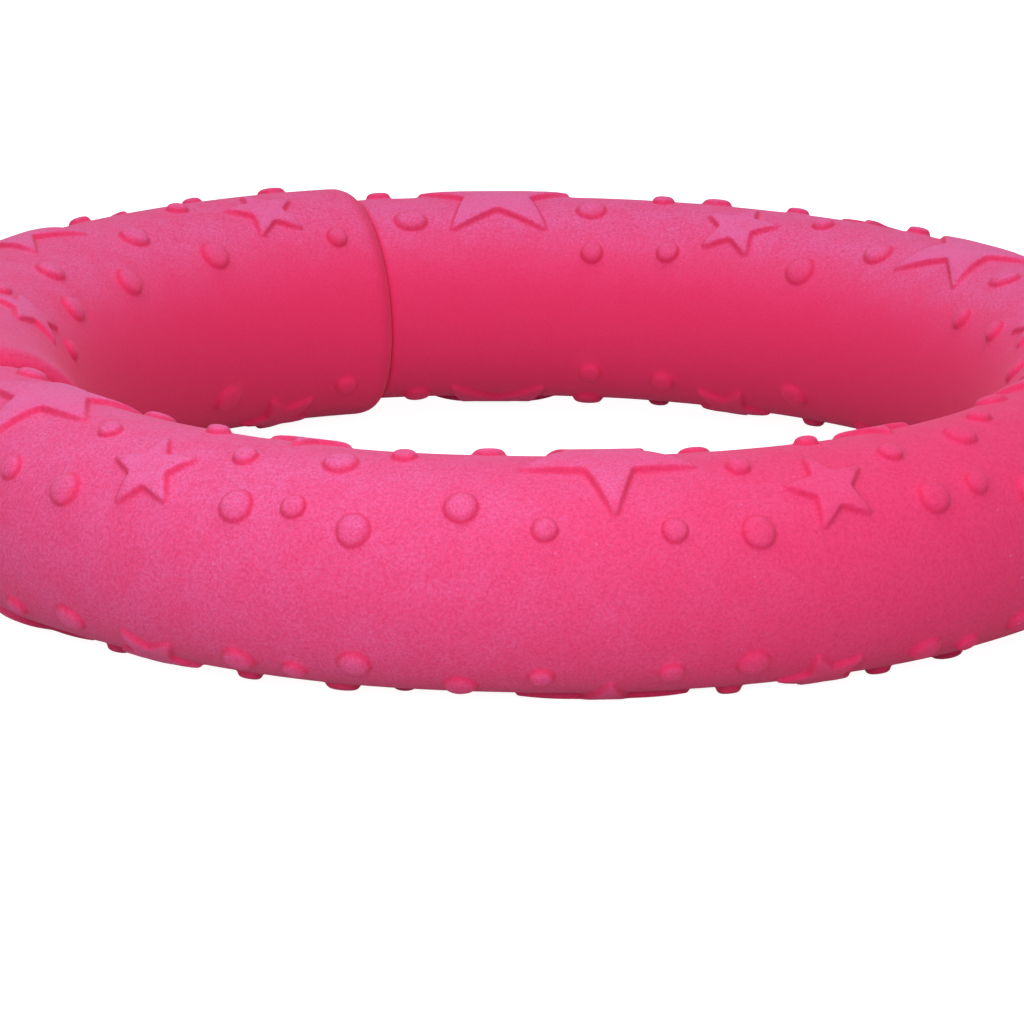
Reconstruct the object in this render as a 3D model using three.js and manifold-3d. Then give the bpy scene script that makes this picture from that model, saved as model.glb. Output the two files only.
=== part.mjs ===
// Foam dog ring: two lengths of moulded EVA foam rod, each bent to the ring's
// radius and glued end to end. Stars and round domes stand out of the skin on the
// upper side, and again, mirrored, on the underside. The short segment is thicker
// than the long one, so the ring leans a little where it lies.
// Millimetres, +Z up. The ring lies on z = 0 with its footprint centred on the origin.
import * as THREE from 'three';
import { mergeVertices } from 'three/addons/utils/BufferGeometryUtils.js';
import Module from 'manifold-3d';

const wasm = await Module();
wasm.setup();

// Ring: the middle of the foam rod runs round this circle
const RING_RADIUS = 78.8;
const LONG_ROD_RADIUS = 15;
const SHORT_ROD_RADIUS = 17;

// Glued joints, as angles round the ring from +X, in degrees
const REAR_JOINT_ANGLE = 108.4;
const LEFT_JOINT_ANGLE = 203;
const GLUE_THICKNESS = 0.4;
const GLUE_INSET = 0.7;
const END_CLEARANCE = 0.3;

// Rounded rims of the moulded ends
const LONG_RIM_ROUNDING = 0.8;
const SHORT_RIM_ROUNDING = 2;
const RIM_STEPS = 2;

// Relief: one repeat of the pattern, the stars and the domes. A star's waist is the
// share of its reach at which the inner corners lie, and its tip angle is the way its
// first tip points: 0 is along the rod and -90 is out towards the outer wall.
const RELIEF_REPEAT = 81;
const LARGE_STAR_REACH = 12;
const SMALL_STAR_REACH = 6.3;
const STAR_WAIST = 0.42;
const LARGE_STAR_HEIGHT = 0.9;
const SMALL_STAR_HEIGHT = 0.8;
const LARGE_STAR_TIP = -90;
const OUTER_STAR_TIP = 28;
const INNER_STAR_TIP = 49;
const LARGE_DOME_RADIUS = 2.45;
const SMALL_DOME_RADIUS = 1.7;
const DOME_HEIGHT = 1;

// Draft of the relief: it is wider at its root, which lies this deep in the foam
const RELIEF_ROOT = 0.7;
const STAR_ROOT_SCALE = 1.03;
const STAR_TOP_SCALE = 0.97;
const STAR_MIDDLE_SCALE = 0.4;
const DOME_ROOT_SCALE = 1.1;
const DOME_TOP_SCALE = 0.65;
const DOME_TOP_SHARE = 0.8;

// Where a large star sits on each segment, and how far each segment was rolled about
// its own axis when it was glued, in degrees
const LONG_STAR_ANGLE = -82.9;
const SHORT_STAR_ANGLE = 152.4;
const LONG_ROLL = -2.5;
const SHORT_ROLL = -8;

// The lowest stars are pressed flat this deep where the ring stands on them
const FLAT_DEPTH = 0.35;

// Fineness of the facets
const ROD_SIDES = 18;
const BEND_STEP_ANGLE = 7.5;
const DOME_SIDES = 5;

const FOAM_COLOUR = 0xea4a8b;
const GLUE_COLOUR = 0xc22a63;

const toRadians = THREE.MathUtils.degToRad;

// A closed three.js geometry as a solid that can be joined and cut, and back
function toSolid(geometry) {
  const bare = geometry.clone();
  bare.deleteAttribute('normal');
  bare.deleteAttribute('uv');
  const merged = mergeVertices(bare, 1e-4);
  return new wasm.Manifold(new wasm.Mesh({
    numProp: 3,
    vertProperties: new Float32Array(merged.attributes.position.array),
    triVerts: new Uint32Array(merged.index.array),
  }));
}

function toGeometry(solid) {
  const mesh = solid.getMesh();
  const geometry = new THREE.BufferGeometry();
  geometry.setAttribute('position', new THREE.BufferAttribute(mesh.vertProperties, 3));
  geometry.setIndex(new THREE.BufferAttribute(mesh.triVerts, 1));
  geometry.computeVertexNormals();
  return geometry;
}

// Bends what was made along a straight rod on the Y axis round the ring: Y becomes
// the way round, +X points away from the ring's axis and +Z stays up
function bendRound(geometry, startAngle) {
  const position = geometry.attributes.position;
  for (let i = 0; i < position.count; i += 1) {
    const angle = toRadians(startAngle) + position.getY(i) / RING_RADIUS;
    const outward = RING_RADIUS + position.getX(i);
    position.setXYZ(i, outward * Math.cos(angle), outward * Math.sin(angle), position.getZ(i));
  }
  return geometry;
}

// A straight foam rod with rounded rims, turned about the Y axis from y = 0 to its length
function rodGeometry(radius, length, rounding) {
  const profile = [new THREE.Vector2(0, 0)];
  for (let i = 0; i <= RIM_STEPS; i += 1) {
    const turn = (i / RIM_STEPS) * Math.PI / 2;
    const x = radius - rounding * (1 - Math.sin(turn));
    profile.push(new THREE.Vector2(x, rounding * (1 - Math.cos(turn))));
  }
  const straight = length - 2 * rounding;
  const steps = Math.ceil(straight / (RING_RADIUS * toRadians(BEND_STEP_ANGLE)));
  for (let i = 1; i < steps; i += 1) {
    profile.push(new THREE.Vector2(radius, rounding + straight * i / steps));
  }
  for (let i = RIM_STEPS; i >= 0; i -= 1) {
    const turn = (i / RIM_STEPS) * Math.PI / 2;
    const x = radius - rounding * (1 - Math.sin(turn));
    profile.push(new THREE.Vector2(x, length - rounding * (1 - Math.cos(turn))));
  }
  profile.push(new THREE.Vector2(0, length));
  return new THREE.LatheGeometry(profile, ROD_SIDES);
}

// Outline of a five-pointed star, one tip at the given angle
function starOutline(reach, tipAngle) {
  const points = [];
  for (let i = 0; i < 10; i += 1) {
    const distance = i % 2 === 0 ? reach : reach * STAR_WAIST;
    const angle = toRadians(tipAngle + 36 * i);
    points.push(new THREE.Vector2(distance * Math.cos(angle), distance * Math.sin(angle)));
  }
  return points;
}

function roundOutline(radius) {
  const points = [];
  for (let i = 0; i < DOME_SIDES; i += 1) {
    const angle = 2 * Math.PI * i / DOME_SIDES;
    points.push(new THREE.Vector2(radius * Math.cos(angle), radius * Math.sin(angle)));
  }
  return points;
}

// A raised form in flat coordinates: x along the rod, y round it, z out of the skin.
// Each layer is the outline at one scale and height, from the root up, and the last
// height is the middle of the top.
function raisedGeometry(outline, layers, topHeight) {
  const vertices = [];
  for (const layer of layers) {
    for (const point of outline) {
      vertices.push(point.x * layer.scale, point.y * layer.scale, layer.height);
    }
  }
  const rootCentre = vertices.length / 3;
  vertices.push(0, 0, layers[0].height);
  const topCentre = rootCentre + 1;
  vertices.push(0, 0, topHeight);
  const faces = [];
  const count = outline.length;
  const topRow = (layers.length - 1) * count;
  for (let i = 0; i < count; i += 1) {
    const next = (i + 1) % count;
    faces.push(rootCentre, next, i);
    faces.push(topCentre, topRow + i, topRow + next);
    for (let row = 0; row < topRow; row += count) {
      faces.push(row + i, row + next, row + count + next);
      faces.push(row + i, row + count + next, row + count + i);
    }
  }
  const geometry = new THREE.BufferGeometry();
  geometry.setAttribute('position', new THREE.Float32BufferAttribute(vertices, 3));
  geometry.setIndex(faces);
  return geometry;
}

// topScales are the rows of the star's top: a wide star needs a second, inner row so
// that its top follows the rod
function starGeometry(reach, height, tipAngle, topScales) {
  const layers = [{ scale: STAR_ROOT_SCALE, height: -RELIEF_ROOT }];
  for (const scale of topScales) layers.push({ scale, height });
  return raisedGeometry(starOutline(reach, tipAngle), layers, height);
}

function domeGeometry(radius) {
  const layers = [
    { scale: DOME_ROOT_SCALE, height: -RELIEF_ROOT },
    { scale: DOME_TOP_SCALE, height: DOME_TOP_SHARE * DOME_HEIGHT },
  ];
  return raisedGeometry(roundOutline(radius), layers, DOME_HEIGHT);
}

function smallStar(tipAngle) {
  return starGeometry(SMALL_STAR_REACH, SMALL_STAR_HEIGHT, tipAngle, [STAR_TOP_SCALE]);
}

function largeStar() {
  const topScales = [STAR_TOP_SCALE, STAR_MIDDLE_SCALE];
  return starGeometry(LARGE_STAR_REACH, LARGE_STAR_HEIGHT, LARGE_STAR_TIP, topScales);
}

const outerStar = () => smallStar(OUTER_STAR_TIP);
const innerStar = () => smallStar(INNER_STAR_TIP);
const largeDome = () => domeGeometry(LARGE_DOME_RADIUS);
const smallDome = () => domeGeometry(SMALL_DOME_RADIUS);

// One repeat of the relief: along is the share of the repeat from the large star,
// around is the angle round the rod, from the outer wall (0) over the crown (90)
const RELIEF = [
  { make: largeStar, along: 0, around: 94 },
  { make: smallDome, along: -0.097, around: 39 },
  { make: smallDome, along: 0.08, around: 37 },
  { make: largeDome, along: 0.195, around: 34 },
  { make: smallDome, along: 0.196, around: 76 },
  { make: outerStar, along: 0.318, around: 51.5 },
  { make: smallDome, along: 0.45, around: 73.5 },
  { make: largeDome, along: 0.473, around: 41 },
  { make: smallDome, along: 0.555, around: 44 },
  { make: largeDome, along: 0.599, around: 77 },
  { make: largeDome, along: 0.646, around: 34.5 },
  { make: smallDome, along: 0.688, around: 89.5 },
  { make: largeDome, along: 0.789, around: 50 },
  { make: largeDome, along: 0.816, around: 109.5 },
  { make: largeDome, along: 0.171, around: 119.5 },
  { make: largeDome, along: 0.324, around: 141.5 },
  { make: smallDome, along: 0.35, around: 101 },
  { make: innerStar, along: 0.508, around: 117 },
  { make: smallDome, along: 0.638, around: 140 },
  { make: smallDome, along: 0.801, around: 143.5 },
];

function turnFacesOver(geometry) {
  const index = geometry.index.array;
  for (let i = 0; i < index.length; i += 3) {
    [index[i], index[i + 1]] = [index[i + 1], index[i]];
  }
}

// Wraps a flat raised form round a segment's rod, true to size on the bent skin. side
// is 1 for the upper half of the mould, and -1 for the lower half, which mirrors it.
function wrapOnRod(flat, segment, along, around, side) {
  const position = flat.attributes.position;
  for (let i = 0; i < position.count; i += 1) {
    const turn = toRadians(around) + position.getY(i) / segment.rodRadius;
    const angle = side * turn + toRadians(segment.roll);
    const reach = segment.rodRadius + position.getZ(i);
    const x = reach * Math.cos(angle);
    const stretch = RING_RADIUS / (RING_RADIUS + x);
    const y = along + segment.direction * position.getX(i) * stretch;
    position.setXYZ(i, x, y, reach * Math.sin(angle));
  }
  if (side * segment.direction < 0) turnFacesOver(flat);
  return flat;
}

// All the relief that fits whole on one segment, joined into one solid
function reliefSolid(segment) {
  const firstStar = toRadians(segment.starAngle - segment.startAngle) * RING_RADIUS;
  const repeats = Math.ceil(segment.length / RELIEF_REPEAT) + 1;
  const forms = [];
  for (let n = -repeats; n <= repeats; n += 1) {
    for (const form of RELIEF) {
      const along = firstStar + segment.direction * (n + form.along) * RELIEF_REPEAT;
      for (const side of [1, -1]) {
        const wrapped = wrapOnRod(form.make(), segment, along, form.around, side);
        wrapped.computeBoundingBox();
        const { min, max } = wrapped.boundingBox;
        if (min.y < segment.rounding || max.y > segment.length - segment.rounding) continue;
        forms.push(toSolid(bendRound(wrapped, segment.startAngle)));
      }
    }
  }
  return forms.reduce((joined, form) => joined.add(form));
}

// A foam segment between two end angles, with the relief moulded into its skin
function segmentGeometry(segment, floor) {
  const rod = rodGeometry(segment.rodRadius, segment.length, segment.rounding);
  const core = toSolid(bendRound(rod, segment.startAngle));
  return toGeometry(core.add(reliefSolid(segment)).subtract(floor));
}

// The film of contact adhesive between two foam ends, set back from the skin
function glueGeometry(jointAngle) {
  const radius = Math.min(LONG_ROD_RADIUS, SHORT_ROD_RADIUS) - GLUE_INSET;
  const profile = [
    new THREE.Vector2(0, 0),
    new THREE.Vector2(radius, 0),
    new THREE.Vector2(radius, GLUE_THICKNESS),
    new THREE.Vector2(0, GLUE_THICKNESS),
  ];
  const halfAngle = THREE.MathUtils.radToDeg(GLUE_THICKNESS / 2 / RING_RADIUS);
  return bendRound(new THREE.LatheGeometry(profile, ROD_SIDES), jointAngle - halfAngle);
}

// Both segments stop short of the joint's middle by half the glue and the clearance
const endSetback = THREE.MathUtils.radToDeg((GLUE_THICKNESS / 2 + END_CLEARANCE) / RING_RADIUS);

function segmentBetween(fromJoint, toJoint, mould) {
  const startAngle = fromJoint + endSetback;
  const length = toRadians(toJoint - endSetback - startAngle) * RING_RADIUS;
  return { startAngle, length, ...mould };
}

// The short segment was turned end for end, so its pattern runs the other way round
const longSegment = segmentBetween(LEFT_JOINT_ANGLE - 360, REAR_JOINT_ANGLE, {
  rodRadius: LONG_ROD_RADIUS,
  rounding: LONG_RIM_ROUNDING,
  starAngle: LONG_STAR_ANGLE,
  roll: LONG_ROLL,
  direction: 1,
});
const shortSegment = segmentBetween(REAR_JOINT_ANGLE, LEFT_JOINT_ANGLE, {
  rodRadius: SHORT_ROD_RADIUS,
  rounding: SHORT_RIM_ROUNDING,
  starAngle: SHORT_STAR_ANGLE,
  roll: SHORT_ROLL,
  direction: -1,
});

// The ring leans until the middle of the short segment and the stars opposite both
// touch the floor: the rods' lowest stars, less the pressed flat, set its height
const shortDepth = SHORT_ROD_RADIUS + LARGE_STAR_HEIGHT;
const longDepth = LONG_ROD_RADIUS + LARGE_STAR_HEIGHT;
const leanAngle = Math.asin((shortDepth - longDepth) / (2 * RING_RADIUS));
const shortMiddle = toRadians((REAR_JOINT_ANGLE + LEFT_JOINT_ANGLE) / 2);
const leanAxis = new THREE.Vector3(Math.sin(shortMiddle), -Math.cos(shortMiddle), 0);

const ring = new THREE.Group();
ring.setRotationFromAxisAngle(leanAxis, leanAngle);
ring.position.z = (shortDepth + longDepth) / 2 - FLAT_DEPTH;
ring.updateMatrix();

// The floor, seen from the leaning ring, cuts the flats on the lowest stars
const floorSize = 4 * (RING_RADIUS + SHORT_ROD_RADIUS);
const floorGeometry = new THREE.BoxGeometry(floorSize, floorSize, SHORT_ROD_RADIUS);
floorGeometry.translate(0, 0, -SHORT_ROD_RADIUS / 2);
floorGeometry.applyMatrix4(ring.matrix.clone().invert());
const floor = toSolid(floorGeometry);

const foam = new THREE.MeshStandardMaterial({ color: FOAM_COLOUR, roughness: 0.9, metalness: 0 });
const glue = new THREE.MeshStandardMaterial({ color: GLUE_COLOUR, roughness: 0.6, metalness: 0 });

function addPiece(name, geometry, material) {
  const piece = new THREE.Mesh(geometry, material);
  piece.name = name;
  ring.add(piece);
}

addPiece('long_foam_segment', segmentGeometry(longSegment, floor), foam);
addPiece('short_foam_segment', segmentGeometry(shortSegment, floor), foam);
addPiece('rear_glue_joint', glueGeometry(REAR_JOINT_ANGLE), glue);
addPiece('left_glue_joint', glueGeometry(LEFT_JOINT_ANGLE), glue);

// Centre the footprint on the origin
const footprint = new THREE.Box3().setFromObject(ring, true).getCenter(new THREE.Vector3());
ring.position.x -= footprint.x;
ring.position.y -= footprint.y;

const part = new THREE.Group();
part.add(ring);
export default part;
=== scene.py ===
import math
import bmesh
import bpy
import numpy as np
from mathutils import Matrix, Vector
from mathutils.geometry import delaunay_2d_cdt


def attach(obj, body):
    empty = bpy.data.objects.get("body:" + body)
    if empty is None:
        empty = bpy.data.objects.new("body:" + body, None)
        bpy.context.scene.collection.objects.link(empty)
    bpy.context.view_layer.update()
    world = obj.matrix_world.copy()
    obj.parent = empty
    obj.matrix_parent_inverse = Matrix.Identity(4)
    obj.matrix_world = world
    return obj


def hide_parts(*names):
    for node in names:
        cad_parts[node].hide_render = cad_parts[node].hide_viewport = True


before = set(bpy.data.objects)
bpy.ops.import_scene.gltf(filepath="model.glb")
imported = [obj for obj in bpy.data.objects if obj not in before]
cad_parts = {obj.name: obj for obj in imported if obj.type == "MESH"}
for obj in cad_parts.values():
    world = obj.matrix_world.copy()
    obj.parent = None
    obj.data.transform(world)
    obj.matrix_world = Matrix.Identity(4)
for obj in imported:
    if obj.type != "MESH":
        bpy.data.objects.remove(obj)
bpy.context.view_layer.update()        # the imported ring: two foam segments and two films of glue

# Long foam segment: about three quarters of the ring, a rod of closed-cell EVA foam,
# pink all through. It was foamed in a two-part mould that gave it its stars, its
# round domes and its matt, faintly powdery skin, and then bent and glued into a ring.

# The ring as it lies: the middle of its rod runs round a circle, which leans because
# the short segment is thicker than the long one (lengths are in millimetres)
RING_RADIUS = 78.8
RING_CENTRE = (1.0256, 0.0563, 16.55)
RING_LEAN = math.radians(0.7271)
LEAN_AXIS = (math.sin(math.radians(155.7)), -math.cos(math.radians(155.7)), 0)
REAR_JOINT_ANGLE = 108.4
LEFT_JOINT_ANGLE = 203
END_SETBACK = 0.05

# The film of glue, and the seat that each end keeps for it inside its rim: how deep it
# is, how much wider than the film, how much its edge slopes, and the shares of the way
# in from the skin where it has a ring of points
GLUE_RADIUS = 14.3
GLUE_SEAT = 0.18
SEAT_CLEARANCE = 0.15
SEAT_SLOPE = 0.05
SEAT_SHARES = (0.35, 0.6, 0.8)

# The rounded rim of an end: its steps from the skin inwards, and how many of them the
# powder takes to fade out while painted shade darkens the groove of the joint
RIM_STEPS = 6
BARE_SHADED_RIM_STEPS = 3

# How far each joint is out of its place: all round, and more over the crown
JOINT_SKEW = {"rear": (0.25, 0.95), "left": (0, 0)}
SKEW_REACH = 9

# The inner wall, painted as in shade, deep and free of powder: where its middle lies
# round the rod, and the cosines of the angle from there at which it starts and is full
INNER_WALL_MIDDLE = math.radians(195)
INNER_WALL_FADE = (0.2, 0.95)

RING_LIE = (Matrix.Translation(RING_CENTRE)
            @ Matrix.Rotation(RING_LEAN, 4, Vector(LEAN_AXIS)))

# One repeat of the moulded pattern. A star's tips and the waists between them are
# rounded off, each over its turn in degrees and in a few steps.
RELIEF_REPEAT = 81
LARGE_STAR_REACH = 12.3
SMALL_STAR_REACH = 6.6
STAR_WAIST = 0.42
STAR_CORNERS = 10
LARGE_STAR_HEIGHT = 0.9
SMALL_STAR_HEIGHT = 0.8
STAR_TIP_ROUNDING = 0.36
STAR_WAIST_ROUNDING = 0.75
STAR_TIP_TURN = 139
STAR_WAIST_TURN = 67
STAR_TIP_STEPS = 6
STAR_WAIST_STEPS = 4
STAR_TIP_DROP = 0.42
# How much of the side mask the tips lose: more powder and less painted shade there
STAR_TIP_SIDE_FADE = 0.75
LARGE_DOME_RADIUS = 2.22
SMALL_DOME_RADIUS = 1.65
DOME_HEIGHT = 1.02
DOME_SIDES = 22

# Side wall of a star, from the fillet in the skin up to the softened upper edge: how
# far outside the outline, the share of the star's height there, and the side mask: how
# bare of mould powder the foam is, and how deep the painted shade in the crease
STAR_WALL = ((0.68, 0.0, 0.0), (0.45, 0.035, 0.4), (0.29, 0.13, 0.8), (0.17, 0.31, 1.0),
             (0.06, 0.55, 1.0), (-0.05, 0.77, 0.7), (-0.17, 0.92, 0.1), (-0.31, 0.985, -0.5))
STAR_WALL_STEP = 1.1

# The top of a star holds extra powder and is painted a little lighter, and is filled
# with points along smaller stars
STAR_TOP_BARE_AND_SHADE = -0.6
STAR_TOP_SHARES = (0.86, 0.72, 0.58, 0.44, 0.3)
STAR_TOP_STEP = 1.8
SMALLEST_TOP_REACH = 3

# A dome's section, from its fillet up to its crown: the share of its radius and of its
# height, and the side mask: how bare of powder it is and how deep its painted shade,
# darkest low on its sides; its crown holds extra powder
DOME_SECTION = ((1.2, 0.0, 0.0), (1.09, 0.03, 0.5), (1.02, 0.14, 1.0), (0.965, 0.32, 1.0),
                (0.91, 0.5, 0.7), (0.83, 0.67, 0.3), (0.72, 0.81, 0.0), (0.57, 0.91, -0.2),
                (0.38, 0.97, -0.3), (0.18, 0.995, -0.3))


def star_outline(reach, tip_angle, step):
    """Softened outline of a five-pointed star, whose corners are tips and waists in
    turn: rows of x, y and the outward normal."""
    corners = []
    for i in range(STAR_CORNERS):
        distance = reach if i % 2 == 0 else reach * STAR_WAIST
        angle = math.radians(tip_angle + 360 / STAR_CORNERS * i)
        corners.append(Vector((distance * math.cos(angle), distance * math.sin(angle))))
    rows = []
    for i, corner in enumerate(corners):
        before = (corner - corners[i - 1]).normalized()
        edge = corners[(i + 1) % STAR_CORNERS] - corner
        after = edge.normalized()
        turn = math.atan2(before.cross(after), before.dot(after))
        bulge = 1 if turn > 0 else -1
        rounding = STAR_TIP_ROUNDING if bulge > 0 else STAR_WAIST_ROUNDING
        setback = rounding * math.tan(abs(turn) / 2)
        start_normal = Vector((before.y, -before.x))
        centre = corner - before * setback - start_normal * bulge * rounding
        arc_steps = STAR_TIP_STEPS if bulge > 0 else STAR_WAIST_STEPS
        for k in range(arc_steps + 1):
            spin = turn * k / arc_steps
            normal = Vector((start_normal.x * math.cos(spin) - start_normal.y * math.sin(spin),
                             start_normal.x * math.sin(spin) + start_normal.y * math.cos(spin)))
            point = centre + normal * bulge * rounding
            rows.append((point.x, point.y, normal.x, normal.y))
        first = corner + after * setback
        waist_is_next = bulge > 0
        next_rounding = STAR_WAIST_ROUNDING if waist_is_next else STAR_TIP_ROUNDING
        next_turn = STAR_WAIST_TURN if waist_is_next else STAR_TIP_TURN
        run = edge.length - setback - next_rounding * math.tan(math.radians(next_turn) / 2)
        count = max(2, round(run / step))
        normal = Vector((after.y, -after.x))
        for k in range(1, count):
            point = first + after * run * k / count
            rows.append((point.x, point.y, normal.x, normal.y))
    return np.array(rows)


def tip_share(points, reach):
    """0 over a star's middle, rising to 1 at its tips."""
    across = np.hypot(points[:, 0], points[:, 1])
    return np.clip(across / reach * 2 - 1, 0, 1) ** 2


def star_form(reach, height, tip_angle):
    """A raised star in flat coordinates: x along the rod, y round it, its height, and
    its side mask: how much powder it lacks and how deep its painted shade is. Its tips
    are lower, as the foam didn't quite fill them, and their side mask is weaker. Gives
    its rings, each closed, from the outermost in, and loose points."""
    outline = star_outline(reach, tip_angle, STAR_WALL_STEP)
    near_tip = tip_share(outline, reach)
    heights = height * (1 - STAR_TIP_DROP * near_tip)
    rings = [np.column_stack([outline[:, 0] + outline[:, 2] * out,
                              outline[:, 1] + outline[:, 3] * out,
                              heights * share, bare * (1 - STAR_TIP_SIDE_FADE * near_tip)])
             for out, share, bare in STAR_WALL]
    loose = [(0, 0, height, STAR_TOP_BARE_AND_SHADE)]
    for share in STAR_TOP_SHARES:
        if reach * share > SMALLEST_TOP_REACH:
            inner = star_outline(reach * share, tip_angle, STAR_TOP_STEP)[::2]
            tops = height * (1 - STAR_TIP_DROP * tip_share(inner, reach))
            loose.extend((x, y, top, STAR_TOP_BARE_AND_SHADE) for (x, y), top in zip(inner[:, :2], tops))
    return rings, np.array(loose)


def dome_form(radius):
    """A raised dome in flat coordinates, as star_form gives a star."""
    turns = np.arange(DOME_SIDES) * 2 * math.pi / DOME_SIDES
    rings = [np.column_stack([radius * share * np.cos(turns), radius * share * np.sin(turns),
                              np.full(DOME_SIDES, DOME_HEIGHT * rise),
                              np.full(DOME_SIDES, bare)])
             for share, rise, bare in DOME_SECTION]
    return rings, np.array([(0, 0, DOME_HEIGHT, DOME_SECTION[-1][2])])


# No two forms came out of the mould alike: how much a dome's outline, height, fullness
# and crown stray, and how much lower one star tip is than another. Each stray follows
# the form's seed at a rate of its own. Forms that reach further than a dome are stars.
DOME_WAVER = 0.014
DOME_HEIGHT_STRAY = 0.12
DOME_FULLNESS_STRAY = 0.3
CROWN_STRAY = 0.13
STAR_TIP_STRAY = 0.35
WAVER_RATES = ((2, 3), (3, -5))
HEIGHT_RATE = 7
CROWN_RATE = 11
FULLNESS_RATE = 13
DOME_REACH_LIMIT = 3


def cast_form(points, seed):
    """One form as it came out of the mould: points of star_form or dome_form, strayed
    by a seed of its own."""
    points = points.copy()
    across = np.hypot(points[:, 0], points[:, 1])
    angle = np.arctan2(points[:, 1], points[:, 0])
    if across.max() > DOME_REACH_LIMIT:
        lower = (1 + np.sin(2 * angle + seed)) / 2
        points[:, 2] *= 1 - STAR_TIP_STRAY * lower * tip_share(points, across.max())
        return points
    waver = 1 + DOME_WAVER * sum(np.sin(waves * angle + rate * seed)
                                 for waves, rate in WAVER_RATES)
    inward = np.clip(1 - across / LARGE_DOME_RADIUS, 0, 1) * LARGE_DOME_RADIUS * CROWN_STRAY
    points[:, 0] = points[:, 0] * waver + inward * math.cos(CROWN_RATE * seed)
    points[:, 1] = points[:, 1] * waver + inward * math.sin(CROWN_RATE * seed)
    fullness = 1 + DOME_FULLNESS_STRAY * math.sin(FULLNESS_RATE * seed)
    height = 1 - DOME_HEIGHT_STRAY * (1 + math.sin(HEIGHT_RATE * seed)) / 2
    points[:, 2] = DOME_HEIGHT * height * (points[:, 2] / DOME_HEIGHT) ** fullness
    return points


LARGE_STAR = star_form(LARGE_STAR_REACH, LARGE_STAR_HEIGHT, tip_angle=-90)
OUTER_STAR = star_form(SMALL_STAR_REACH, SMALL_STAR_HEIGHT, tip_angle=28)
INNER_STAR = star_form(SMALL_STAR_REACH, SMALL_STAR_HEIGHT, tip_angle=49)
LARGE_DOME = dome_form(LARGE_DOME_RADIUS)
SMALL_DOME = dome_form(SMALL_DOME_RADIUS)

# The seed of a form's strays grows by 1 over this length along the rod, and by 1 with
# each degree round it
SEED_STEP = 7

# Grid of the bare skin: its steps along and round the rod, and how far its points and
# the relief keep away from each other and from the rims of the ends
STEP_ALONG = 2
STEP_ROUND = 2
RELIEF_GAP = 0.7
RIM_GAP = 0.8
RELIEF_RIM_GAP = 0.2
SPOT_PRECISION = 1e-5

# Each form of one repeat: the share of the repeat from the large star, and the angle
# round the rod, from the ring's outer wall (0) over the crown (90)
RELIEF = (
    (LARGE_STAR, 0, 92), (SMALL_DOME, -0.097, 40), (SMALL_DOME, 0.08, 38.2),
    (LARGE_DOME, 0.195, 35.2), (SMALL_DOME, 0.196, 76), (OUTER_STAR, 0.318, 55),
    (SMALL_DOME, 0.45, 73.5), (LARGE_DOME, 0.473, 42.2), (SMALL_DOME, 0.555, 45.2),
    (LARGE_DOME, 0.599, 77), (LARGE_DOME, 0.646, 35.7), (SMALL_DOME, 0.688, 89.5),
    (LARGE_DOME, 0.789, 51), (LARGE_DOME, 0.816, 109.5), (LARGE_DOME, 0.171, 119.5),
    (LARGE_DOME, 0.324, 141.5), (SMALL_DOME, 0.35, 101), (INNER_STAR, 0.508, 117),
    (SMALL_DOME, 0.638, 140), (SMALL_DOME, 0.801, 143.5),
)

# A segment that has relief of its own at its left end leaves the repeat there on its
# upper skin: past one angle round the ring, and over one round the rod
LEFT_END_FROM = 146
LEFT_END_OVER = 90

# Foam never comes out of the mould quite even. Each low swell of the rod has its height,
# its waves round the ring and round the rod, and how far the rod's own seed shifts it
SWELLS = ((0.05, 3, 2, 1), (0.04, 7, -1, 2.1), (0.03, 13, 3, 0.7))


def rod_radius(rod, along, turn):
    """The bare rod's own radius, with its swells."""
    phi = along / RING_RADIUS
    uneven = sum(height * np.sin(ring_waves * phi + rod_waves * turn + shift * rod["seed"])
                 for height, ring_waves, rod_waves, shift in SWELLS)
    return rod["radius"] + uneven


def skewed(rod, along, turn):
    """How far along a point of the skin really lies. The rear joint was cut and glued a
    little out of square: both segments take the same skew, which dies out from there."""
    near_start = np.exp(-(along / SKEW_REACH) ** 2)
    near_end = np.exp(-((rod["length"] - along) / SKEW_REACH) ** 2)
    return (along + near_start * joint_skew(rod["start_joint"], turn)
            + near_end * joint_skew(rod["end_joint"], turn))


def joint_skew(joint, turn):
    """How far along a joint's edge lies from its place, at one turn round the rod."""
    shift, slant = JOINT_SKEW[joint]
    return shift + slant * np.sin(turn)


def place_on_ring(rod, along, turn, lift):
    """Points of a segment's skin in the frame, in metres. along runs round the ring
    from the segment's start, turn round the rod, and lift out of the bare skin. The
    floor presses the lowest forms flat."""
    phi = math.radians(rod["start"]) + along / RING_RADIUS
    reach = rod_radius(rod, along, turn) + lift
    outward = RING_RADIUS + reach * np.cos(turn)
    points = np.column_stack([outward * np.cos(phi), outward * np.sin(phi),
                              reach * np.sin(turn)])
    lie = np.array(RING_LIE)
    points = points @ lie[:3, :3].T + lie[:3, 3]
    points[:, 2] = np.maximum(points[:, 2], 0)
    return points / 1000


def forms_on(rod, side):
    """Each form on one half of a segment's skin, how far along it lies, and its angle
    round the rod from the parting line."""
    repeats = math.ceil(rod["length"] / RELIEF_REPEAT) + 1
    for n in range(-repeats, repeats + 1):
        for form, share, around in RELIEF:
            angle = rod["star"] + rod["direction"] * (n + share) * math.degrees(
                RELIEF_REPEAT / RING_RADIUS)
            at_left_end = (rod["left_end"] and side == 1 and angle > LEFT_END_FROM
                           and around > LEFT_END_OVER)
            if not at_left_end:
                yield form, math.radians(angle - rod["start"]) * RING_RADIUS, around
    if side == 1:
        for form, angle, around in rod["left_end"]:
            yield (form, math.radians(angle - rod["start"]) * RING_RADIUS,
                   around - rod["roll"])


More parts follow.
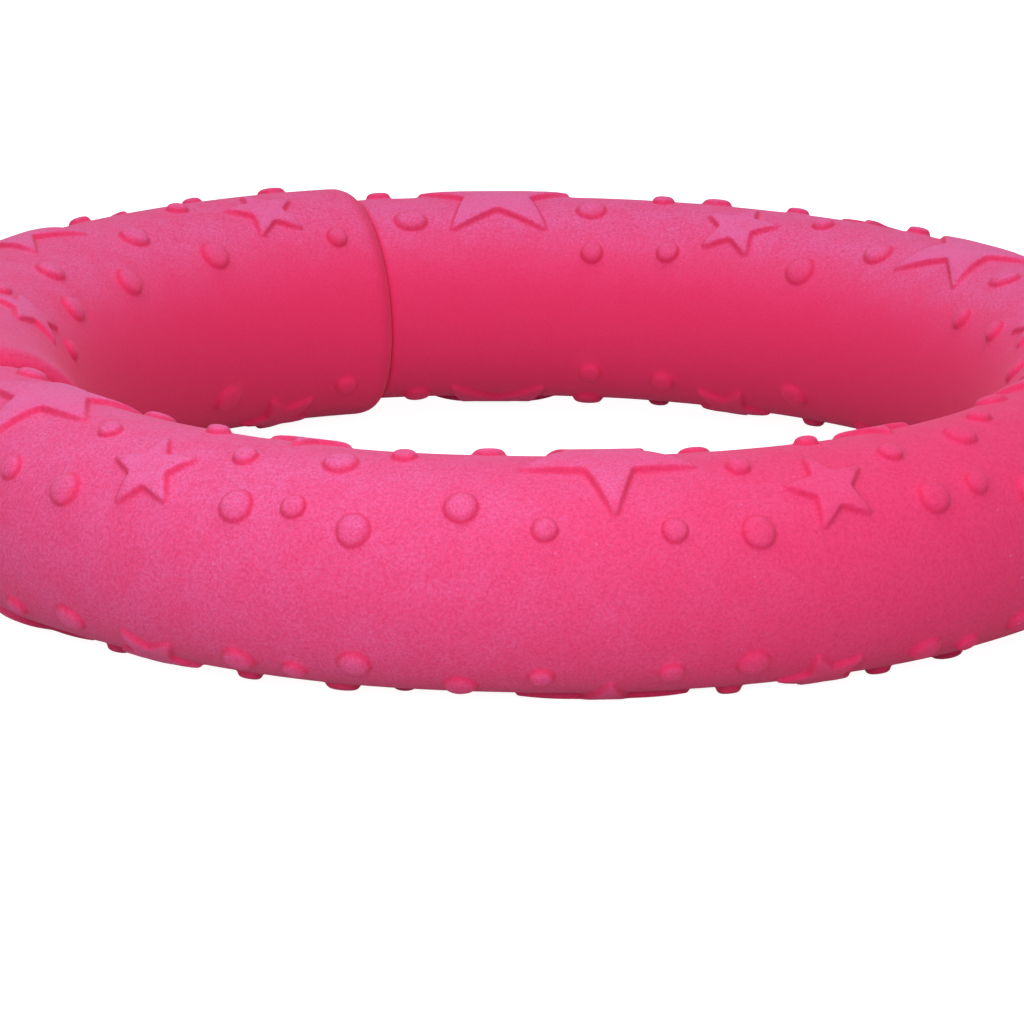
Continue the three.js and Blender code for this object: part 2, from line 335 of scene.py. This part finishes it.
def half_skin(rod, side):
    """One half of the mould's work: the skin from the outer parting line over the crown
    (side 1) or under the belly (side -1) to the inner one, with every form in it."""
    length, radius, rim = rod["length"], rod["radius"], rod["rim_length"]
    width = math.pi * radius
    columns = round((length - 2 * rim) / STEP_ALONG)
    rows = 2 * round(width / STEP_ROUND / 2)
    roll = math.radians(rod["roll"])
    flat, lifts, edges, taken = [], [], [], []
    for (rings, loose), middle, around in forms_on(rod, side):
        around_mm = math.radians(around) * radius
        seed = rod["seed"] + side + middle / SEED_STEP + around
        cast = cast_form(np.vstack([*rings, loose]), seed)
        *rings, loose = np.split(cast, np.cumsum([len(ring) for ring in rings]))

        def wrap(points):
            up = around_mm + points[:, 1]
            outward = RING_RADIUS + radius * np.cos(side * up / radius + roll)
            return np.column_stack([
                middle + rod["direction"] * points[:, 0] * RING_RADIUS / outward, up])

        outer = wrap(rings[0])
        margin = rim + RELIEF_RIM_GAP
        if outer[:, 0].min() < margin or outer[:, 0].max() > length - margin:
            continue
        taken.append(outer)
        for ring in rings:
            first = sum(len(a) for a in flat)
            count = len(ring)
            flat.append(wrap(ring))
            lifts.append(ring[:, 2:])
            edges.extend((first + i, first + (i + 1) % count) for i in range(count))
        flat.append(wrap(loose))
        lifts.append(loose[:, 2:])

    # Points round the border of the half, and in a grid over its bare skin
    border = [(rim + (length - 2 * rim) * i / columns, y)
              for i in range(columns + 1) for y in (0, width)]
    border += [(x, width * j / rows) for j in range(1, rows) for x in (rim, length - rim)]
    body = []
    for i in range(1, columns):
        for j in range(1, rows):
            x = rim + (length - 2 * rim) * (i + (0.5 if j % 2 else 0)) / columns
            if x < length - rim - RIM_GAP:
                body.append((x, width * j / rows))
    body = np.array(body)
    free = np.ones(len(body), bool)
    for outer in taken:
        near = np.all((body > outer.min(0) - RELIEF_GAP)
                      & (body < outer.max(0) + RELIEF_GAP), axis=1)
        for k in np.nonzero(near)[0]:
            gaps = outer - body[k]
            closest = np.min(np.hypot(gaps[:, 0], gaps[:, 1]))
            if closest < RELIEF_GAP or inside(outer, body[k]):
                free[k] = False

    # One sheet of triangles through all the points, with the rings of the forms as edges
    flat += [np.array(border), body[free]]
    lifts.append(np.zeros((len(border) + int(free.sum()), 2)))
    flat, lifts = np.vstack(flat), np.vstack(lifts)
    made = delaunay_2d_cdt([Vector(p) for p in flat], edges, [], 0, SPOT_PRECISION)
    spots = np.array([tuple(p) for p in made[0]])
    sources = made[3]
    lift, bare = np.array([lifts[s[0]] for s in sources]).T
    turns = side * spots[:, 1] / radius + roll
    points = place_on_ring(rod, skewed(rod, spots[:, 0], turns), turns, lift)
    return points, [tuple(face) for face in made[2]], turns, bare, rows


def inside(outline, point):
    """Whether a point lies inside a closed outline."""
    x, y = outline[:, 0] - point[0], outline[:, 1] - point[1]
    ahead = np.roll(outline, -1, axis=0)
    u, v = ahead[:, 0] - point[0], ahead[:, 1] - point[1]
    crosses = (y > 0) != (v > 0)
    with np.errstate(divide="ignore", invalid="ignore"):
        hits = crosses & (x + (u - x) * (-y) / (v - y) > 0)
    return bool(hits.sum() % 2)


def moulded_end(rod, rows, at_start):
    """A segment's end: the rounded rim and the flat that the glue takes hold of."""
    rim, roll = rod["rim_length"], math.radians(rod["roll"])
    turns = np.arange(2 * rows) * math.pi / rows + roll
    around = len(turns)
    rings, bare = [], []
    for k in range(RIM_STEPS + 1):
        swing = math.pi / 2 * k / RIM_STEPS
        rings.append((rim * (1 - math.sin(swing)), -rod["rim_depth"] * (1 - math.cos(swing))))
        # The rim's first steps lose their powder and take painted shade, in the joint's groove
        bare.append(min(k / BARE_SHADED_RIM_STEPS, 1))
    seat_edge = GLUE_RADIUS + SEAT_CLEARANCE - rod["radius"]
    rings += [(0, seat_edge), (GLUE_SEAT, seat_edge - SEAT_SLOPE)]
    rings += [(GLUE_SEAT, -rod["radius"] * share) for share in SEAT_SHARES]
    points = []
    for along, drop in rings:
        spot = np.full(around, along if at_start else rod["length"] - along)
        if along != GLUE_SEAT:
            spot = skewed(rod, spot, turns)
        points.append(place_on_ring(rod, spot, turns, drop))
    points.append(points[-1].mean(0, keepdims=True))
    faces = []
    for k in range(len(rings) - 1):
        for i in range(around):
            j = (i + 1) % around
            faces.append((k * around + i, k * around + j, (k + 1) * around + j,
                          (k + 1) * around + i))
    last = (len(rings) - 1) * around
    faces.extend((last + i, last + (i + 1) % around, last + around) for i in range(around))
    bare += [1] * (len(rings) - len(bare))
    return (np.vstack(points), faces, np.append(np.tile(turns, len(rings)), 0),
            np.append(np.repeat(bare, around), 1))


# Points of the skin's halves and ends that lie this close, in metres, are one point
WELD_DISTANCE = 2e-6


def foam_segment(name, rod):
    """A whole segment as one closed mesh: both halves of its skin and both ends. Its
    points keep two masks: the relief's sides and the ends' rims, which lack powder and
    take painted shade, and the ring's inner wall, which keeps a deep colour as painted shade."""
    shell = bmesh.new()
    bare_and_shaded_side = shell.verts.layers.float.new("bare_and_shaded_side")
    shaded_inner_wall = shell.verts.layers.float.new("shaded_inner_wall")
    parts = []
    for side in (1, -1):
        *part, rows = half_skin(rod, side)
        parts.append(part)
    parts += [moulded_end(rod, rows, at_start) for at_start in (True, False)]
    for points, faces, turns, bare in parts:
        # The inner wall's mask, which keeps its colour deep as painted shade
        start, full = INNER_WALL_FADE
        facing_in = (np.cos(turns - INNER_WALL_MIDDLE) - start) / (full - start)
        facing_in = np.clip(facing_in, 0, 1)
        facing_in = facing_in ** 2 * (3 - 2 * facing_in)
        corners = [shell.verts.new(p) for p in points]
        for corner, bare_shaded, inner in zip(corners, bare, facing_in):
            corner[bare_and_shaded_side] = bare_shaded
            corner[shaded_inner_wall] = inner
        for face in faces:
            shell.faces.new([corners[i] for i in face])
    bmesh.ops.remove_doubles(shell, verts=shell.verts, dist=WELD_DISTANCE)
    bmesh.ops.recalc_face_normals(shell, faces=shell.faces)
    mesh = bpy.data.meshes.new(name)
    shell.to_mesh(mesh)
    shell.free()
    mesh.shade_smooth()
    segment = bpy.data.objects.new(name, mesh)
    bpy.context.scene.collection.objects.link(segment)
    return segment


def segment_rod(from_joint, to_joint, **mould):
    """A segment's rod between two joints, less what the glue takes. Its mould gives its
    radius, the length and depth of its rims, the angle round the ring of one large star,
    how far the relief is rolled round the rod, which way it runs, and its seed."""
    setback = math.degrees(END_SETBACK / RING_RADIUS)
    start = from_joint + setback
    length = math.radians(to_joint - setback - start) * RING_RADIUS
    return {"start": start, "length": length, **mould}


long_segment = foam_segment("long_foam", segment_rod(
    LEFT_JOINT_ANGLE - 360, REAR_JOINT_ANGLE, radius=15, rim_length=0.9, rim_depth=0.5,
    star=-82.9, roll=-2.5, direction=1, left_end=(), seed=0.4, start_joint="left",
    end_joint="rear"))


def shader_group(name, inputs, outputs):
    """An empty shader node group with named sockets, and its two end nodes."""
    group = bpy.data.node_groups.new(name, "ShaderNodeTree")
    for socket_name, kind, value in inputs:
        socket = group.interface.new_socket(socket_name, in_out="INPUT", socket_type=kind)
        socket.default_value = value
    for socket_name, kind in outputs:
        group.interface.new_socket(socket_name, in_out="OUTPUT", socket_type=kind)
    return group, group.nodes.new("NodeGroupInput"), group.nodes.new("NodeGroupOutput")


def noise(tree, place, scale, detail):
    """Soft noise over the surface, at a scale in lumps to the metre."""
    node = tree.nodes.new("ShaderNodeTexNoise")
    node.inputs["Scale"].default_value = scale
    node.inputs["Detail"].default_value = detail
    node.inputs["Roughness"].default_value = 0.6
    tree.links.new(place, node.inputs["Vector"])
    return node.outputs["Fac"]


def remap(tree, value, low, high, to_low=0.0, to_high=1.0):
    """A value's range from low to high, softly turned into another range."""
    node = tree.nodes.new("ShaderNodeMapRange")
    node.interpolation_type = "SMOOTHSTEP"
    tree.links.new(value, node.inputs["Value"])
    node.inputs["From Min"].default_value = low
    node.inputs["From Max"].default_value = high
    node.inputs["To Min"].default_value = to_low
    node.inputs["To Max"].default_value = to_high
    return node.outputs["Result"]


def blend(tree, share, first, second):
    """A colour between two, by the second one's share."""
    node = tree.nodes.new("ShaderNodeMix")
    node.data_type = "RGBA"
    for socket, value in ((node.inputs["Factor"], share), (node.inputs["A"], first),
                          (node.inputs["B"], second)):
        if isinstance(value, bpy.types.NodeSocket):
            tree.links.new(value, socket)
        else:
            socket.default_value = value
    return node.outputs["Result"]


def arithmetic(tree, operation, first, second):
    """One sum over two values or sockets."""
    node = tree.nodes.new("ShaderNodeMath")
    node.operation = operation
    for socket, value in zip(node.inputs, (first, second)):
        if isinstance(value, bpy.types.NodeSocket):
            tree.links.new(value, socket)
        else:
            socket.default_value = value
    return node.outputs[0]


# Foam skin: full pink foam under a thin, uneven film of pale mould powder. The powder is
# thickest on what faces up, partly as dust and partly as a painted sheen on the crown,
# and thins towards the front right, a painted sheen that leaves the front left paler.
# It is rubbed off the relief's sides, which also take painted shade, and kept off the
# inner wall as painted shade. Its pores show as fine darker spots, and here and there
# a grain of powder is left whole.
LONG_FOAM_PINK = (0.85, 0.03, 0.137, 1)
POWDER_AND_SHEEN_PINK = (0.8, 0.14, 0.38, 1)
PORE_AND_SHADE_PINK = (0.56, 0.018, 0.1, 1)
LONG_FOAM_POWDER = 0.44

# The scales of its noises, in lumps to the metre, and the share that the cells have in
# the fine texture, where the grains have the rest
CELL_SCALE = 3300
GRAIN_SCALE = 7500
CELL_SHARE = 0.7
CLOUD_SCALE = 170
PORE_SCALE = 1900
SPECK_SCALE = 600

# The place at the front right where the powder is thinnest, in metres; its rise from
# there is a painted sheen that leaves the front left paler
LEAST_SHEEN_PLACE = (0.07, -0.065, 0.02)

# Each of these turns the range between its first two numbers into the one between its
# last two. The covers say how much powder there is: over the texture, in clouds, with
# the distance in metres from the place of thinnest powder, as painted sheen, and on
# what faces up, partly as dust and partly as painted sheen.
TEXTURE_COVER = (0.34, 0.66, 0.55, 1.45)
CLOUD_COVER = (0.36, 0.64, 0.85, 1.15)
SHEEN_DISTANCE_COVER = (0.01, 0.112, 0.28, 1.08)
UPWARD_DUST_AND_SHEEN = (0.3, 1.0, 1.0, 1.38)
SPECK_SPREAD = (0.05, 0.12, 1, 0)
SPECK_CHANCE = (0.74, 0.95, 0, 1)
PORE_DEPTH = (0.36, 0.58, 0.23, 0)
TEXTURE_ROUGHNESS = (0.3, 0.7, 0.95, 0.8)

# What the masks take away from the powder: on the relief's sides partly for real and
# partly as painted shade, on the inner wall as painted shade; and how far painted shade
# darkens the relief's sides and the ends' rims
POWDER_LOSS_AND_SHADE = (("Bare And Shaded Side", 0.68), ("Shaded Inner Wall", 0.9))
RELIEF_SIDE_PAINTED_SHADE = 0.16

skin, skin_in, skin_out = shader_group(
    "foam_skin",
    [("Foam Colour", "NodeSocketColor", LONG_FOAM_PINK),
     ("Powder And Sheen Colour", "NodeSocketColor", POWDER_AND_SHEEN_PINK),
     ("Pore And Shade Colour", "NodeSocketColor", PORE_AND_SHADE_PINK),
     ("Powder", "NodeSocketFloat", LONG_FOAM_POWDER),
     ("Bare And Shaded Side", "NodeSocketFloat", 0.0),
     ("Shaded Inner Wall", "NodeSocketFloat", 0.0)],
    [("Colour", "NodeSocketColor"), ("Roughness", "NodeSocketFloat"),
     ("Height", "NodeSocketFloat")])
place = skin.nodes.new("ShaderNodeTexCoord").outputs["Object"]
cells = noise(skin, place, CELL_SCALE, detail=2)
grains = noise(skin, place, GRAIN_SCALE, detail=1)
clouds = noise(skin, place, CLOUD_SCALE, detail=4)
texture = arithmetic(skin, "ADD", arithmetic(skin, "MULTIPLY", cells, CELL_SHARE),
                     arithmetic(skin, "MULTIPLY", grains, 1 - CELL_SHARE))
cover = arithmetic(skin, "MULTIPLY", remap(skin, texture, *TEXTURE_COVER),
                   remap(skin, clouds, *CLOUD_COVER))
# Painted sheen: the powder thickens away from the front right, so the front left shows paler
least_sheen_distance = skin.nodes.new("ShaderNodeVectorMath")
least_sheen_distance.operation = "DISTANCE"
least_sheen_distance.inputs[1].default_value = LEAST_SHEEN_PLACE
skin.links.new(place, least_sheen_distance.inputs[0])
cover = arithmetic(skin, "MULTIPLY", cover,
                   remap(skin, least_sheen_distance.outputs["Value"], *SHEEN_DISTANCE_COVER))
# More powder on what faces up: partly dust, partly a painted sheen on the crown
facing = skin.nodes.new("ShaderNodeNewGeometry").outputs["Normal"]
upward = skin.nodes.new("ShaderNodeSeparateXYZ")
skin.links.new(facing, upward.inputs[0])
cover = arithmetic(skin, "MULTIPLY", cover,
                   remap(skin, upward.outputs["Z"], *UPWARD_DUST_AND_SHEEN))
# The inner wall loses its powder as painted shade, and the relief's sides partly so
for mask, loss in POWDER_LOSS_AND_SHADE:
    kept = arithmetic(skin, "SUBTRACT", 1.0,
                      arithmetic(skin, "MULTIPLY", skin_in.outputs[mask], loss))
    cover = arithmetic(skin, "MULTIPLY", cover, kept)
cover = arithmetic(skin, "MULTIPLY", cover, skin_in.outputs["Powder"])
specks = skin.nodes.new("ShaderNodeTexVoronoi")
specks.inputs["Scale"].default_value = SPECK_SCALE
skin.links.new(place, specks.inputs["Vector"])
chance = skin.nodes.new("ShaderNodeSeparateColor")
skin.links.new(specks.outputs["Color"], chance.inputs[0])
speck = arithmetic(skin, "MULTIPLY", remap(skin, specks.outputs["Distance"], *SPECK_SPREAD),
                   remap(skin, chance.outputs[0], *SPECK_CHANCE))
off_inner_wall = arithmetic(skin, "SUBTRACT", 1.0, skin_in.outputs["Shaded Inner Wall"])
speck = arithmetic(skin, "MULTIPLY", speck, off_inner_wall)
cover = arithmetic(skin, "MINIMUM", arithmetic(skin, "ADD", cover, speck), 1.0)
covered = blend(skin, cover, skin_in.outputs["Foam Colour"],
                skin_in.outputs["Powder And Sheen Colour"])
pores = remap(skin, noise(skin, place, PORE_SCALE, detail=5), *PORE_DEPTH)
pores = arithmetic(skin, "MULTIPLY", pores, off_inner_wall)
# Painted shade: the relief's sides and the ends' rims are darkened towards the pore colour
side_shade = arithmetic(skin, "MULTIPLY", skin_in.outputs["Bare And Shaded Side"], RELIEF_SIDE_PAINTED_SHADE)
skin.links.new(blend(skin, arithmetic(skin, "ADD", pores, side_shade), covered,
                     skin_in.outputs["Pore And Shade Colour"]), skin_out.inputs["Colour"])
skin.links.new(remap(skin, texture, *TEXTURE_ROUGHNESS), skin_out.inputs["Roughness"])
skin.links.new(texture, skin_out.inputs["Height"])


def foam_material(name, foam_colour, powder):
    """Matt pink EVA foam with its own shade and its own cover of mould powder."""
    material = bpy.data.materials.new(name)
    material.use_nodes = True
    tree = material.node_tree
    shader = tree.nodes["Principled BSDF"]
    foam_skin = tree.nodes.new("ShaderNodeGroup")
    foam_skin.node_tree = skin
    foam_skin.inputs["Foam Colour"].default_value = foam_colour
    foam_skin.inputs["Powder"].default_value = powder
    for mask, socket in (("bare_and_shaded_side", "Bare And Shaded Side"), ("shaded_inner_wall", "Shaded Inner Wall")):
        attribute = tree.nodes.new("ShaderNodeAttribute")
        attribute.attribute_name = mask
        tree.links.new(attribute.outputs["Fac"], foam_skin.inputs[socket])
    bump = tree.nodes.new("ShaderNodeBump")
    bump.inputs["Strength"].default_value = 0.5
    bump.inputs["Distance"].default_value = 0.00011
    tree.links.new(foam_skin.outputs["Height"], bump.inputs["Height"])
    tree.links.new(foam_skin.outputs["Colour"], shader.inputs["Base Color"])
    tree.links.new(foam_skin.outputs["Roughness"], shader.inputs["Roughness"])
    tree.links.new(bump.outputs["Normal"], shader.inputs["Normal"])
    shader.inputs["Specular IOR Level"].default_value = 0.2
    shader.inputs["Sheen Weight"].default_value = 0.08
    shader.inputs["Sheen Roughness"].default_value = 0.5
    shader.inputs["Sheen Tint"].default_value = (1, 0.75, 0.85, 1)
    return material


long_segment.data.materials.append(
    foam_material("long_foam_skin", LONG_FOAM_PINK, LONG_FOAM_POWDER))
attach(long_segment, "root")
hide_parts("long_foam_segment")

# Short foam segment: the rest of the ring, at the rear left, out of the same mould but
# foamed up about 13 % thicker, turned end for end, and glued in as a second length. Its
# moulded ends keep a rounded shoulder that stands proud of the thinner rod.
SHORT_FOAM_PINK = (0.85, 0.029, 0.133, 1)
SHORT_FOAM_POWDER = 0.4

# The relief at its left end: each form's angle round the ring, and round the rod
LEFT_END_RELIEF = (
    (LARGE_STAR, 152.4, 66), (LARGE_DOME, 149.9, 136), (LARGE_DOME, 161.2, 114),
    (LARGE_DOME, 165.4, 136.5), (INNER_STAR, 178.4, 123), (SMALL_DOME, 175.4, 150),
    (SMALL_DOME, 174, 105.5),
)

short_segment = foam_segment("short_foam", segment_rod(
    REAR_JOINT_ANGLE, LEFT_JOINT_ANGLE, radius=17, rim_length=3.2, rim_depth=2.3,
    star=152.4, roll=-8, direction=-1, left_end=LEFT_END_RELIEF, seed=2.9,
    start_joint="rear", end_joint="left"))
short_segment.data.materials.append(
    foam_material("short_foam_skin", SHORT_FOAM_PINK, SHORT_FOAM_POWDER))
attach(short_segment, "root")
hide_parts("short_foam_segment")

# Glue joints: at the rear and at the left, a thin film of cured contact adhesive
# between the two foam ends. It stops short of the skin and shows only in the groove.
GLUE_PINK = (0.5, 0.02, 0.12, 1)
GLUE_SMEAR_PINK = (0.62, 0.04, 0.17, 1)
GLUE_SMEAR_SCALE = 420
GLUE_SMEAR_EDGE = (0.35, 0.65)
GLUE_ROUGHNESS = (0.4, 0.6)

glue = bpy.data.materials.new("cured_glue")
glue.use_nodes = True
glue_tree = glue.node_tree
glue_shader = glue_tree.nodes["Principled BSDF"]
glue_place = glue_tree.nodes.new("ShaderNodeTexCoord").outputs["Object"]
glue_smears = noise(glue_tree, glue_place, GLUE_SMEAR_SCALE, detail=3)
glue_tree.links.new(
    blend(glue_tree, remap(glue_tree, glue_smears, *GLUE_SMEAR_EDGE), GLUE_PINK,
          GLUE_SMEAR_PINK), glue_shader.inputs["Base Color"])
glue_tree.links.new(remap(glue_tree, glue_smears, *GLUE_SMEAR_EDGE, *GLUE_ROUGHNESS),
                    glue_shader.inputs["Roughness"])
for node_name in ("rear_glue_joint", "left_glue_joint"):
    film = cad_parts[node_name]
    film.data.materials.clear()
    film.data.materials.append(glue)

# Studio: a wide white table under soft lamps. The table and the room show plain white
# to the camera, and the table keeps the ring's shadow.
TABLE_HALF_WIDTH = 6
TABLE_GREY = (0.55, 0.55, 0.55, 1)
TABLE_GLOW = 0.93
ROOM_LIGHT = 0.3


def seen_rays(tree):
    """1 for what the camera sees, straight or in a gloss or through glass."""
    path = tree.nodes.new("ShaderNodeLightPath")
    seen = arithmetic(tree, "MAXIMUM", path.outputs["Is Camera Ray"],
                      path.outputs["Is Glossy Ray"])
    return arithmetic(tree, "MAXIMUM", seen, path.outputs["Is Transmission Ray"])


table_mesh = bpy.data.meshes.new("table")
table_top = bmesh.new()
bmesh.ops.create_grid(table_top, x_segments=1, y_segments=1, size=TABLE_HALF_WIDTH)
table_top.to_mesh(table_mesh)
table_top.free()
table = bpy.data.objects.new("table", table_mesh)
bpy.context.scene.collection.objects.link(table)
white = bpy.data.materials.new("white_table")
white.use_nodes = True
white_tree = white.node_tree
white_shader = white_tree.nodes["Principled BSDF"]
white_shader.inputs["Base Color"].default_value = TABLE_GREY
white_shader.inputs["Roughness"].default_value = 0.9
white_shader.inputs["Specular IOR Level"].default_value = 0.1
white_shader.inputs["Emission Color"].default_value = (1, 1, 1, 1)
white_tree.links.new(arithmetic(white_tree, "MULTIPLY", seen_rays(white_tree), TABLE_GLOW),
                     white_shader.inputs["Emission Strength"])
table_mesh.materials.append(white)

room = bpy.data.worlds.new("white_room")
bpy.context.scene.world = room
room.use_nodes = True
room_tree = room.node_tree
backdrop = room_tree.nodes["Background"]
backdrop.inputs["Color"].default_value = (1, 1, 1, 1)
room_tree.links.new(
    arithmetic(room_tree, "MAXIMUM", seen_rays(room_tree), ROOM_LIGHT),
    backdrop.inputs["Strength"])


def soft_lamp(name, place, aim, size, power):
    """A softbox of a width and a height, turned to what it is aimed at."""
    light = bpy.data.lights.new(name, "AREA")
    light.shape = "RECTANGLE"
    light.size, light.size_y = size
    light.energy = power
    lamp = bpy.data.objects.new(name, light)
    lamp.location = place
    lamp.rotation_euler = (Vector(aim) - Vector(place)).to_track_quat("-Z", "Y").to_euler()
    bpy.context.scene.collection.objects.link(lamp)


soft_lamp("overhead_softbox", place=(-0.02, -0.14, 0.6), aim=(0, -0.02, 0),
          size=(1.0, 1.0), power=3.5)
soft_lamp("front_softbox", place=(-0.025, -0.5, 0.17), aim=(0, -0.09, 0.005),
          size=(0.36, 0.18), power=0.92)

# The camera stands in front, a little above the ring, with a long lens. It is turned
# so that the middle of the ring shows at one pixel of the frame.
CAMERA_DISTANCE = 886.62
CAMERA_RISE = math.radians(14.133)
CAMERA_ROLL = math.radians(0.703)
FOCAL_PIXELS = 6376.86
RING_PIXEL = (527.757, 423.337)
FRAME_PIXELS = 1024
SENSOR_WIDTH = 36

eye = Vector((0, -math.cos(CAMERA_RISE), math.sin(CAMERA_RISE))) * CAMERA_DISTANCE
ahead = -eye.normalized()
right = Vector((1, 0, 0))
above = right.cross(ahead)
turned_right = right * math.cos(CAMERA_ROLL) + above * math.sin(CAMERA_ROLL)
turned_above = above * math.cos(CAMERA_ROLL) - right * math.sin(CAMERA_ROLL)
ahead = (ahead * FOCAL_PIXELS
         + turned_right * (FRAME_PIXELS / 2 - RING_PIXEL[0])
         - turned_above * (FRAME_PIXELS / 2 - RING_PIXEL[1])).normalized()
right = (turned_right - ahead * turned_right.dot(ahead)).normalized()
above = right.cross(ahead)
pose = Matrix((right, above, -ahead)).transposed().to_4x4()
pose.translation = eye
pose = RING_LIE @ pose
pose.translation /= 1000

lens = bpy.data.cameras.new("long_lens")
lens.sensor_width = SENSOR_WIDTH
lens.lens = SENSOR_WIDTH * FOCAL_PIXELS / FRAME_PIXELS
lens.clip_start, lens.clip_end = 0.1, 30
camera = bpy.data.objects.new("camera", lens)
camera.matrix_world = pose
bpy.context.scene.collection.objects.link(camera)
bpy.context.scene.camera = camera

bpy.context.scene.view_settings.view_transform = "Standard"
